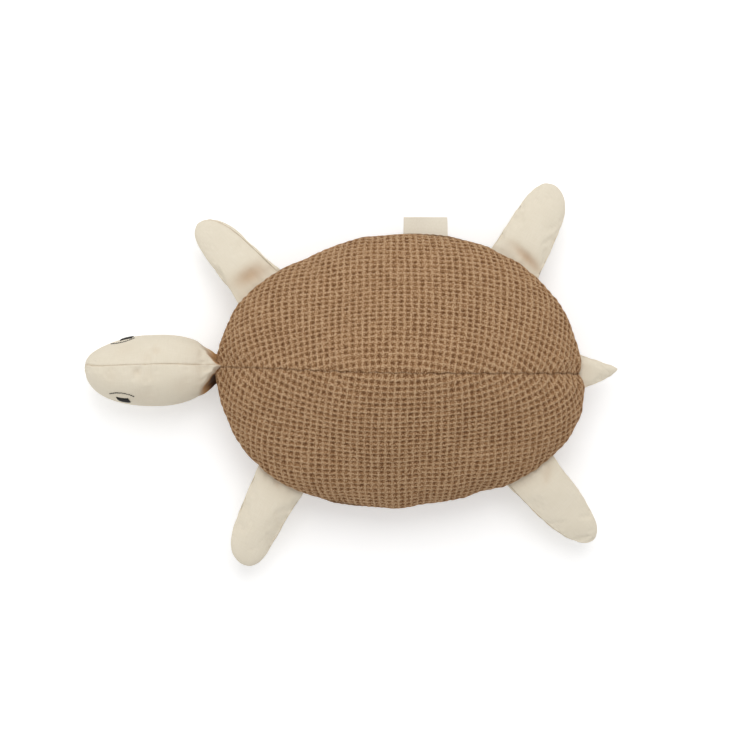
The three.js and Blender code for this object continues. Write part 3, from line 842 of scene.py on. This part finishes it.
# %% [markdown]
# ## The head
# Two canvas panels, left and right, are joined along the top and the bottom. Stuffed hard, they make an egg
# with its blunt end at the nose. Towards the neck the top seam stays up as a narrow ridge while the sides
# sink in, so from above the cream runs to a point where it meets the shell.

# %% Head skin
HEAD_LENGTH = 123 * MM
HEAD_WIDTH = 71 * MM
HEAD_HEIGHT = 76 * MM
HEAD_WIDEST = 0.41 * HEAD_LENGTH
NOSE_FULLNESS = 2.2  # seen from above; 2 is an ellipse, more is blunter
BROW_FULLNESS = 2.7  # seen from the side
NECK_WIDTH = 43 * MM
NECK_HEIGHT = 30 * MM
NECK_REACH = 9 * MM
NECK_ASIDE = 3 * MM
HEAD_DROOP = 3
HEAD_ROLL = 9.5
HEAD_TURN = 1.5
GATHERED_WIDTH = 31 * MM  # of the cloth where it is sewn into the rim
RIDGE_HEIGHT = 19 * MM  # of the top seam over the neck centre
RIDGE_RISE = 0.35
RIDGE_END = 10 * MM  # from the neck centre back to the tip of the ridge
RIDGE_BEAK = 4 * MM
RIDGE_BLEND = 6 * MM  # how softly the ridge grows out of the egg
RIDGE_SPREAD = 1.36  # half width it gains per length
GATHER_SINK = 9 * MM  # how far the gathered cloth beside the ridge sinks below the rim
NOSE_ASIDE = 2.5 * MM  # the tip of the nose, towards the right side
NOSE_TWIST = 22  # degrees that the top seam turns that way at the nose

neck_centre = Vector((-half_length - NECK_REACH, NECK_ASIDE, rim_height))
turn_head = (Matrix.Rotation(math.radians(180 + HEAD_TURN), 3, "Z")
             @ Matrix.Rotation(math.radians(HEAD_DROOP), 3, "Y")
             @ Matrix.Rotation(math.radians(HEAD_ROLL), 3, "X"))


def ring_size(distance, widest, neck, fullness=NOSE_FULLNESS):
    """Half size of the head's ring at a distance from the neck centre towards the nose."""
    rear = HEAD_WIDEST / math.sqrt(1 - (neck / widest) ** 2)
    behind = widest * np.sqrt(np.maximum(1 - ((HEAD_WIDEST - distance) / rear) ** 2, 0))
    out = np.clip((distance - HEAD_WIDEST) / (HEAD_LENGTH - HEAD_WIDEST), 0, 1)
    ahead = widest * (1 - out**fullness) ** (1 / fullness)
    return np.where(distance < HEAD_WIDEST, behind, ahead)


def ridge_width(distance):
    """Half width of the ridge, which runs out over the shell in a thin beak."""
    straight = RIDGE_SPREAD * (distance + RIDGE_END)
    return (straight + np.hypot(straight, RIDGE_BEAK)) / 2


def beside_ridge(distance, aside):
    """Nothing on the ridge that runs back from the head to the shell, one in the gathers on both sides."""
    past = np.clip((np.abs(aside) - ridge_width(distance)) / (7 * MM), 0, 1)
    return past * (2 - past)


def head_local(distance, angle):
    """Points of the head's skin in its own frame: along it, and at an angle down from its top seam."""
    wide = ring_size(distance, HEAD_WIDTH / 2, NECK_WIDTH / 2)
    high = ring_size(distance, HEAD_HEIGHT / 2, NECK_HEIGHT / 2, BROW_FULLNESS)
    rear = distance < HEAD_WIDEST
    wide = np.where(rear, np.maximum(wide, GATHERED_WIDTH / 2), wide)
    ridge = RIDGE_HEIGHT + RIDGE_RISE * np.minimum(distance, 0)
    high = np.where(rear, (high + ridge + np.hypot(high - ridge, RIDGE_BLEND)) / 2, high)
    out = np.clip((distance - HEAD_WIDEST) / (HEAD_LENGTH - HEAD_WIDEST), 0, 1)
    angle = angle - math.radians(NOSE_TWIST) * out**12
    aside = wide * np.sin(angle)
    up = high * np.cos(angle)
    sunk = beside_ridge(distance, aside)
    up = up * np.where(up > 0, 1 - 0.7 * sunk, 1) - GATHER_SINK * sunk
    near_neck = bell(distance + RIDGE_END, 14 * MM)
    aside = aside - NOSE_ASIDE * out**5 - (1.3 + 0.3 * np.maximum(np.cos(angle), 0) ** 2) * MM * near_neck
    return np.stack([distance + 0 * angle, aside, up], -1)


def head_world(local):
    """Turns points of the head's own frame into the frame of the whole toy."""
    return local @ np.array(turn_head).T + np.array(neck_centre)


# %% [markdown]
# The nose is where both seams meet, so the cloth is drawn together there. Along the seams the canvas dips to
# the stitches and shows tiny cross folds. A few soft dents are left where the filling is uneven. The seam
# lines, the dents and the gathers beside the neck also carry painted shade in the cloth's colour.

# %% Head panels
HEAD_ROWS = 125
HEAD_COLUMNS = 181
BEHIND_NECK = 16 * MM  # how far the panels run back past the neck centre
TIP_GAP = 0.00001 * MM  # the last ring stops this short of the nose, where all points would be one
CANVAS_THICKNESS = 0.9 * MM
CANVAS_SLACK = 0.009
HEAD_DENTS = [  # along from the neck, degrees from the top seam to the left, size, depth
    (47, -24, 5, 1.9), (56, -12, 7, 1.0), (65, 12, 5, 1.7), (55, 22, 9, 0.9), (78, -34, 10, 1.2),
    (22, 40, 9, 0.9), (60, 60, 12, 1.0), (92, 20, 8, 0.8),
]
HEAD_PUCKERS = [  # on the seams: along from the neck, size, depth
    (57, 2, 0.9), (112, 2.5, 0.9), (118, 2, 0.8), (75, 2, 0.4), (33, 2.5, 0.4),
]
# Painted shade in the neck gathers, for the left and the right side: its share, and where it starts to fade.
GATHER_SHADE = {1: (1.0, 0.75), -1: (0.6, 0.45)}  # left and right: share of the brown, and where it fades
GATHER_FADE = 14 * MM


def seam_dip(distance, depth, width):
    """A sewn seam: the cloth dips to the stitches between two soft lips."""
    return depth * (0.5 * bell(distance - 2.2 * width, 1.2 * width) - bell(distance, width))


def head_panel(name, side, seed):
    share = np.linspace(0, 1, HEAD_COLUMNS)
    reach = HEAD_LENGTH + BEHIND_NECK
    distance = HEAD_LENGTH - reach * (1 - np.sin(share * math.pi / 2)) - TIP_GAP
    angle = np.linspace(0, math.pi, HEAD_ROWS)[:, None] * side
    distance = np.broadcast_to(distance, (HEAD_ROWS, HEAD_COLUMNS))
    angle = np.broadcast_to(angle, distance.shape)
    points = head_local(distance, angle)
    if side < 0:
        points, distance, angle = points[:, ::-1], distance[:, ::-1], angle[:, ::-1]
    normals = grid_normals(points)
    ring = ring_size(distance, (HEAD_WIDTH + HEAD_HEIGHT) / 4, NECK_WIDTH / 2)
    from_seam = np.minimum(np.abs(angle), math.pi - np.abs(angle)) * ring
    from_nose = np.linalg.norm(points - np.array([HEAD_LENGTH, 0, 0]), axis=-1)
    held = np.minimum(from_seam / (8 * MM), 1)
    height = seam_dip(from_seam, 0.35 * MM, 0.8 * MM)
    crosswise = ripple(np.stack([distance, 0 * distance], -1), 3.5 * MM, 40)
    height += 0.25 * MM * crosswise * bell(from_seam, 4 * MM)
    for along, size, depth in HEAD_PUCKERS:
        height -= depth * MM * bell(np.hypot(distance - along * MM, from_seam), size * MM)
    gathers = ripple(np.stack([np.abs(angle) * 15 * MM, 0 * distance], -1), 2.6 * MM, seed + 2)
    height += 0.5 * MM * gathers * bell(distance + 4 * MM, 9 * MM) * held
    height += 0.8 * MM * ripple(points, 38 * MM, seed + 1) * held * np.minimum(from_nose / (20 * MM), 1)
    height -= 1.2 * MM * bell(from_nose, 6 * MM)
    height += 0.4 * MM * np.sin(9 * angle) * bell(from_nose - 6 * MM, 6 * MM)
    # Painted shade: the dents are also tinted towards the shell's brown glow.
    dent_shade = np.zeros_like(height)
    for along, degrees, size, depth in HEAD_DENTS:
        middle = head_local(np.array(along * MM), np.array(math.radians(degrees)))
        near = bell(np.linalg.norm(points - middle, axis=-1), size * MM)
        height -= depth * MM * near
        dent_shade = np.maximum(dent_shade, 0.03 * depth * near)
    cloth = np.stack([distance, np.abs(angle) * ring.max()], -1) / MM
    # Painted shade: beside the ridge at the neck the gathers turn tan and then deep brown, more on the left
    # than on the right, fading towards the nose.
    past = np.abs(points[..., 1]) - ridge_width(distance)
    neck_fold_shade = np.clip(past / (1.5 * MM), 0, 1) * np.clip(2.2 + 3 * np.cos(angle), 0, 1)
    shade_share, fades_at = GATHER_SHADE[side]
    neck_fold_shade *= shade_share * np.clip(fades_at - distance / GATHER_FADE, 0.1, 1)
    # A faint painted shade, in the shell's brown glow, also follows each seam line.
    seam = np.maximum(np.maximum(0.1 * bell(from_seam, 0.6 * MM), dent_shade), neck_fold_shade)
    points = head_world(points + settling(points, 4, CANVAS_SLACK) + normals * height[..., None])
    return cloth_panel(name, points, cloth, CANVAS_THICKNESS, canvas, seam, step=2)


head_left = head_panel("head_panel_left_cloth", 1, 41)
head_right = head_panel("head_panel_right_cloth", -1, 51)

for piece, nodes in (
    (head_left, ["head_panel_left", "head_filling"]),
    (head_right, ["head_panel_right"]),
):
    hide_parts(*nodes)
    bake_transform(piece)
print("head panels:", len(head_left.data.polygons), "faces each")

# %% [markdown]
# ## Embroidered eyes
# Each eye is satin stitch: black strands laid side by side until they fill a small shape. A line of short
# stitches arches over it as the lid. Every strand is its own small tube. The cloth has settled since its
# formula, so each point of a strand is dropped onto the finished skin along a ray from outside.

# %% Strands of thread
ABOVE_SKIN = 8 * MM


def skin_of(panel):
    """The faces of a panel, to be searched by rays."""
    mesh = panel.data
    return BVHTree.FromPolygons([v.co for v in mesh.vertices], [f.vertices for f in mesh.polygons])


skins = {1: skin_of(head_left), -1: skin_of(head_right)}


def head_skin(side, distance, turn, lift):
    """Points on the finished skin of one cheek, raised by lift, and the direction out of the skin there."""
    step = 0.5 * MM
    angle = side * turn
    spot = head_local(distance, angle)
    along = head_local(distance + step, angle) - spot
    down = head_local(distance, angle + step / (HEAD_WIDTH / 2)) - spot
    out = units(np.cross(along, down)) @ np.array(turn_head).T
    start = head_world(spot) + out * ABOVE_SKIN
    met = [skins[side].ray_cast(Vector(a), Vector(-b))[0] for a, b in zip(start, out)]
    return np.array(met) + out * lift, out


def strands(name, lines, width, height):
    """One mesh of many strands. Each line is (points, out directions) along a strand."""
    sides = 8
    around = np.linspace(0, 2 * math.pi, sides, endpoint=False)
    corners, faces = [], []
    for points, out in lines:
        way = units(np.gradient(points, axis=0))
        aside = units(np.cross(way, out))
        ends = np.sqrt(np.maximum(1 - np.linspace(-1, 1, len(points)) ** 8, 0.08))[:, None, None]
        ring = (np.cos(around)[None, :, None] * aside[:, None, :] * width / 2
                + np.sin(around)[None, :, None] * out[:, None, :] * height / 2)
        first = sum(len(c) for c in corners)
        corners.append((points[:, None, :] + ring * ends).reshape(-1, 3))
        for i in range(len(points) - 1):
            for j in range(sides):
                a, b = first + i * sides + j, first + i * sides + (j + 1) % sides
                faces.append([a, b, b + sides, a + sides])
        faces.append([first + j for j in range(sides)][::-1])
        faces.append([first + (len(points) - 1) * sides + j for j in range(sides)])
    mesh = bpy.data.meshes.new(name)
    mesh.from_pydata(np.concatenate(corners), [], faces)
    mesh.shade_smooth()
    mesh.materials.append(thread)
    return put_in_scene(name, mesh)


# %% [markdown]
# The eye is a rounded shape 13 mm across with an almost straight upper edge. The lid is 25 mm long and
# arches over it.

# %% Eyes and lids
EYE_WIDTH = 13 * MM
EYE_FROM_NECK = {1: 0.67 * HEAD_LENGTH, -1: 0.645 * HEAD_LENGTH}  # left and right are not quite alike
EYE_ANGLE = 70.5
LID_LENGTH = 25 * MM
LID_RISE = 4.5 * MM
LID_FROM_NECK = 0.675 * HEAD_LENGTH
LID_ANGLE = {1: 50, -1: 54}
LID_STITCHES = 13
EYE_LEAN = 0.22  # the strands of an eye run a little towards the nose at their upper end
LID_TILT = math.tan(math.radians(10))  # the lid lies lower towards the nose
STRAND = 0.75 * MM
LID_STRAND = (1.3 * MM, 0.8 * MM)  # width and height of a lid's stitch


def eye_strands(side):
    lines = []
    middle = EYE_FROM_NECK[side]
    ring = float(ring_size(np.array(middle), (HEAD_WIDTH + HEAD_HEIGHT) / 4, NECK_HEIGHT / 2))
    count = round(EYE_WIDTH / (STRAND * 0.8))
    for i in range(count):
        across = (i + 0.5) / count * 2 - 1
        low = math.sqrt(max(1 - across**2, 0.06)) ** 0.5 * 0.8 * EYE_WIDTH / 2
        high = (0.6 + 0.1 * across**2) * EYE_WIDTH / 2
        t = np.linspace(-high, low, 12)
        bulge = np.sin(np.linspace(0, math.pi, 12)) * 0.35 * MM
        along = across * 0.92 * EYE_WIDTH / 2 - EYE_LEAN * t
        angle = math.radians(EYE_ANGLE) + t / ring
        lines.append(head_skin(side, middle + along, angle, 0.25 * MM + bulge[:, None]))
    return lines


def lid_strands(side):
    lines = []
    ring = float(ring_size(np.array(LID_FROM_NECK), (HEAD_WIDTH + HEAD_HEIGHT) / 4, NECK_HEIGHT / 2))
    chance = np.random.default_rng(7)
    for i in range(LID_STITCHES):
        middle = (i + 0.5) / LID_STITCHES * 2 - 1
        s = middle + np.linspace(-0.42, 0.42, 6) * 2 / LID_STITCHES * chance.uniform(0.8, 1.1)
        arch = LID_RISE * (s - 0.25) ** 2 + chance.normal() * 0.12 * MM
        bulge = np.sin(np.linspace(0, math.pi, 6)) * 0.25 * MM
        along = s * LID_LENGTH / 2
        angle = math.radians(LID_ANGLE[side]) + (arch + LID_TILT * along) / ring
        lines.append(head_skin(side, LID_FROM_NECK + along, angle, 0.2 * MM + bulge[:, None]))
    return lines


for side, cheek in ((1, "left"), (-1, "right")):
    eye = strands(f"eye_{cheek}_stitches", eye_strands(side), STRAND, STRAND)
    lid = strands(f"eyelid_{cheek}_stitches", lid_strands(side), *LID_STRAND)
    for piece, node in ((eye, f"eye_{cheek}"), (lid, f"eyelid_{cheek}")):
        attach(piece, "head")
        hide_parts(node)
print("strands in each eye:", len(eye_strands(1)))

# %% [markdown]
# ## Flippers and tail
# Each limb is two canvas panels, sewn together round the edge, turned right side out and lightly filled.
# They are flat at the root, where they are caught in the rim seam, and fill out over the first few
# centimetres. A section across a limb is a lens. The seam sits on its edge, or a little above or below it
# where the limb has rolled, so that a strip of the lower panel shows from above.

# %% Limb shape
LIMB_ROWS = 97
LIMB_COLUMNS = 121
LIMB_SEAT = 0.35 * MM
FOLD_REACH = 2 * MM
TUCKED_IN = 3 * MM
LIMB_SLACK = 0.006


def rim_place(rim_angle, swing):
    """Root point, direction square to the rim, and heading of a limb, from its angle round the rim."""
    t = math.radians(rim_angle)
    root = np.array([half_length * math.cos(t), half_width * math.sin(t)])
    square = math.atan2(math.sin(t) / half_width, math.cos(t) / half_length)
    return root, square, square + math.radians(swing)


def root_edge(root, heading, across):
    """How far the rim lies along the limb from its root point, for points aside of its middle line."""
    a, b = half_length, half_width
    c, s = math.cos(heading), math.sin(heading)
    x, y = root[0] - across * s, root[1] + across * c
    square = (c / a) ** 2 + (s / b) ** 2
    half = (x * c) / a**2 + (y * s) / b**2
    rest = (x / a) ** 2 + (y / b) ** 2 - 1
    return (-half + np.sqrt(np.maximum(half**2 - square * rest, 0))) / square


def limb_world(points, place, droop):
    """Lays a limb drawn flat, pointing along x, into its place at the rim, drooped about its fold line."""
    root, square, heading = place
    hinge = Vector((root[0], root[1], rim_height)) + Vector(
        (math.cos(square), math.sin(square), 0)) * (LIMB_SEAT + FOLD_REACH)
    seam_way = Vector((-math.sin(square), math.cos(square), 0))
    droops = (Matrix.Translation(hinge) @ Matrix.Rotation(math.radians(droop), 4, seam_way)
              @ Matrix.Translation(-hinge))
    lay = droops @ Matrix.Translation((root[0], root[1], rim_height)) @ Matrix.Rotation(heading, 4, "Z")
    lay = np.array(lay)
    return points @ lay[:3, :3].T + lay[:3, 3]


# %% [markdown]
# The same function draws both panels of a limb. It walks round half of each section, from one seam to the
# other, so the upper and the lower panel meet exactly. Dents are listed for each limb as they lie in the
# picture: along and across in millimetres, length, width, direction in degrees, depth, and how brown the
# light from the shell makes them.

# %% Limb panels
ROOT_THICKNESS = 1.0 * MM  # half a limb's thickness at its root, where it has no filling
EDGE_FOLD = 0.35 * MM  # height of the small folds beside the seam
LIMB_UNEVEN = 0.5 * MM
ROOT_GATHER = 0.4 * MM
# Painted shade along each limb's seam line, as a share of the shell's brown glow.
SEAM_SHADE_SHARE = 0.18


def limb_panel(name, limb, place, droop, side, seed):
    t = np.linspace(0, 1, LIMB_COLUMNS)[None, :]
    turn = math.pi * np.linspace(1, 0, LIMB_ROWS)[:, None] + math.radians(limb.get("roll", 0))
    if side < 0:
        turn = turn + math.pi
    length = limb["length"]
    distance = (1 - (1 - t) ** 2) * length * 0.9997 + 0 * turn
    past = np.clip((distance - limb["round_from"]) / (length - limb["round_from"]), 0, 1)
    round_off = np.sqrt(1 - past ** limb["roundness"])
    half = limb["root_width"] / 2 * (1 - limb["taper"] * distance / length) * round_off
    filled = np.sin(math.pi / 2 * np.clip(distance / limb["fill_from"], 0, 1)) ** 1.5
    thick = ROOT_THICKNESS * round_off + (limb["thickness"] / 2 - ROOT_THICKNESS) * filled * round_off
    across = half * np.cos(turn)
    up = thick * np.sign(np.sin(turn)) * np.abs(np.sin(turn)) ** 1.1
    start = root_edge(place[0], place[2], across) - limb.get("tucked_in", TUCKED_IN)
    lie = distance + start * (1 - t) ** 3
    across = across + limb["lean"] * distance / length + limb["hook"] * (distance / length) ** 3
    points = np.stack([lie, across, up], -1)
    normals = grid_normals(points)
    from_seam = np.minimum(turn.max() - turn, turn - turn.min()) * half
    held = np.minimum(from_seam / (4 * MM), 1)
    height = seam_dip(from_seam, 0.7 * MM, 0.9 * MM)
    fold = ripple(np.stack([lie, across], -1), 7 * MM, seed) * bell(from_seam, 6 * MM)
    height += EDGE_FOLD * fold * round_off * held
    height += LIMB_UNEVEN * ripple(points, 22 * MM, seed + 1) * filled * held
    gathers = ripple(across[..., None], 6 * MM, seed + 2) * bell(distance, 14 * MM)
    height += ROOT_GATHER * gathers * held
    # Painted shade: each dent is tinted by its listed share of the shell's brown glow, and the seam line by
    # a fixed share.
    shade = np.zeros_like(height)
    dents = limb.get("dents", []) if side > 0 else []
    for spot_along, spot_across, long, wide, degrees, depth, shade_share in dents:
        c, s = math.cos(math.radians(degrees)), math.sin(math.radians(degrees))
        dx, dy = lie - spot_along * MM, across - spot_across * MM
        near = ((dx * c + dy * s) / (long * MM)) ** 2 + ((dy * c - dx * s) / (wide * MM)) ** 2
        height -= depth * MM * np.exp(-near)
        shade = np.maximum(shade, shade_share * np.exp(-near))
    seam = np.maximum(SEAM_SHADE_SHARE * bell(from_seam, 0.7 * MM), shade)
    cloth = np.stack([lie, across], -1) / MM
    points = points + settling(points, 4, LIMB_SLACK) + normals * height[..., None]
    world = limb_world(points, place, droop)
    return cloth_panel(name, world, cloth, CANVAS_THICKNESS, canvas, seam)


FLIPPER = {"thickness": 16 * MM, "fill_from": 26 * MM, "bends_over": 16 * MM}  # what all four share
limbs = {  # angle round the rim, degrees off square to it, droop, and the cut of the panels
    "flipper_front_right": (141, -0.5, 8, FLIPPER | {
        "length": 88 * MM, "root_width": 54.4 * MM, "taper": 0.31, "round_from": 35 * MM, "roundness": 3.5,
        "lean": -1.6 * MM, "hook": 3.4 * MM, "roll": -28,
        "dents": [(12, -1, 16, 8, 80, 1.9, 0.28)]}),
    "flipper_rear_right": (52, 1.3, 8, FLIPPER | {
        "length": 90 * MM, "root_width": 55.8 * MM, "taper": 0.22, "round_from": 0, "roundness": 5.7,
        "lean": -1.4 * MM, "hook": 3.1 * MM,
        "dents": [(10, -9, 18, 4.5, 76, 1.9, 0.26)]}),
    "flipper_front_left": (-130, 6, 8, FLIPPER | {
        "length": 98 * MM, "root_width": 53.1 * MM, "taper": 0.28, "round_from": 30 * MM, "roundness": 6,
        "lean": -5.2 * MM, "hook": 6.9 * MM,
        "dents": [(7, -2, 4, 2.5, 60, 0.9, 0.1)]}),
    "flipper_rear_left": (-45.5, 4.3, 8, FLIPPER | {
        "length": 97 * MM, "root_width": 54.5 * MM, "taper": 0.1, "round_from": 0, "roundness": 3,
        "lean": 0.6 * MM, "hook": 1.6 * MM, "roll": -18,
        "dents": [(13, 10, 10, 4, -54, 1.0, 0.08)]}),
    "tail": (0, 0, 4, {
        "length": 33 * MM, "root_width": 38.4 * MM, "taper": 0.87, "round_from": 26 * MM, "roundness": 2,
        "thickness": 9 * MM, "fill_from": 12 * MM, "bends_over": 9 * MM,
        "lean": 0.3 * MM, "hook": 2.5 * MM, "tucked_in": 9 * MM}),
}
for seed, (name, (rim_angle, swing, droop, cut)) in enumerate(limbs.items()):
    place = rim_place(rim_angle, swing)
    for side, layer in ((1, "upper"), (-1, "lower")):
        piece = limb_panel(f"{name}_{layer}_cloth", cut, place, droop, side, 100 + 10 * seed + side)
        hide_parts(f"{name}_{layer}")
        if side > 0:
            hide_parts(f"{name}_filling")
        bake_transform(piece)
print("limbs:", ", ".join(limbs))

# %% [markdown]
# ## Side label
# A short woven tape is folded once and caught in the rim seam on the turtle's right side. It is drawn as one
# strip that goes out, turns over at its end and comes back. It stays bare.

# %% Side label
LABEL_WIDTH = 44.5 * MM
LABEL_LENGTH = 19 * MM
TAPE_THICKNESS = 0.5 * MM
LABEL_ANGLE = 82.3
LABEL_SWING = 5.8
LABEL_TUCK = 5 * MM


def side_label():
    fold_radius = 0.65 * MM
    straight = LABEL_LENGTH + LABEL_TUCK - fold_radius
    total = 2 * straight + math.pi * fold_radius
    along, aside = np.meshgrid(np.linspace(0, total, 121), np.linspace(-1, 1, 81))
    turned = np.clip((along - straight) / fold_radius, 0, math.pi)
    back = np.maximum(along - straight - math.pi * fold_radius, 0)
    x = -LABEL_TUCK + np.minimum(along, straight) - back + fold_radius * np.sin(turned)
    z = -fold_radius * np.cos(turned)
    y = aside * LABEL_WIDTH / 2 * (1 - 0.02 * x / LABEL_LENGTH)
    out_share = np.clip(x / LABEL_LENGTH, 0, 1)
    z = z + 1.2 * MM * out_share**2 * np.sin(2.2 * aside + 0.6) + 0.3 * MM * out_share * np.sin(5 * aside)
    place = rim_place(LABEL_ANGLE, LABEL_SWING)
    points = limb_world(np.stack([x, y, z], -1), place, 0)
    cloth = np.stack([along, aside * LABEL_WIDTH / 2], -1) / MM
    return cloth_panel("side_label_tape", points[::-1], cloth[::-1], TAPE_THICKNESS, tape), place, total


label, label_place, tape_length = side_label()
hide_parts("side_label")
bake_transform(label)
print("label tape", round(tape_length / MM), "mm long")
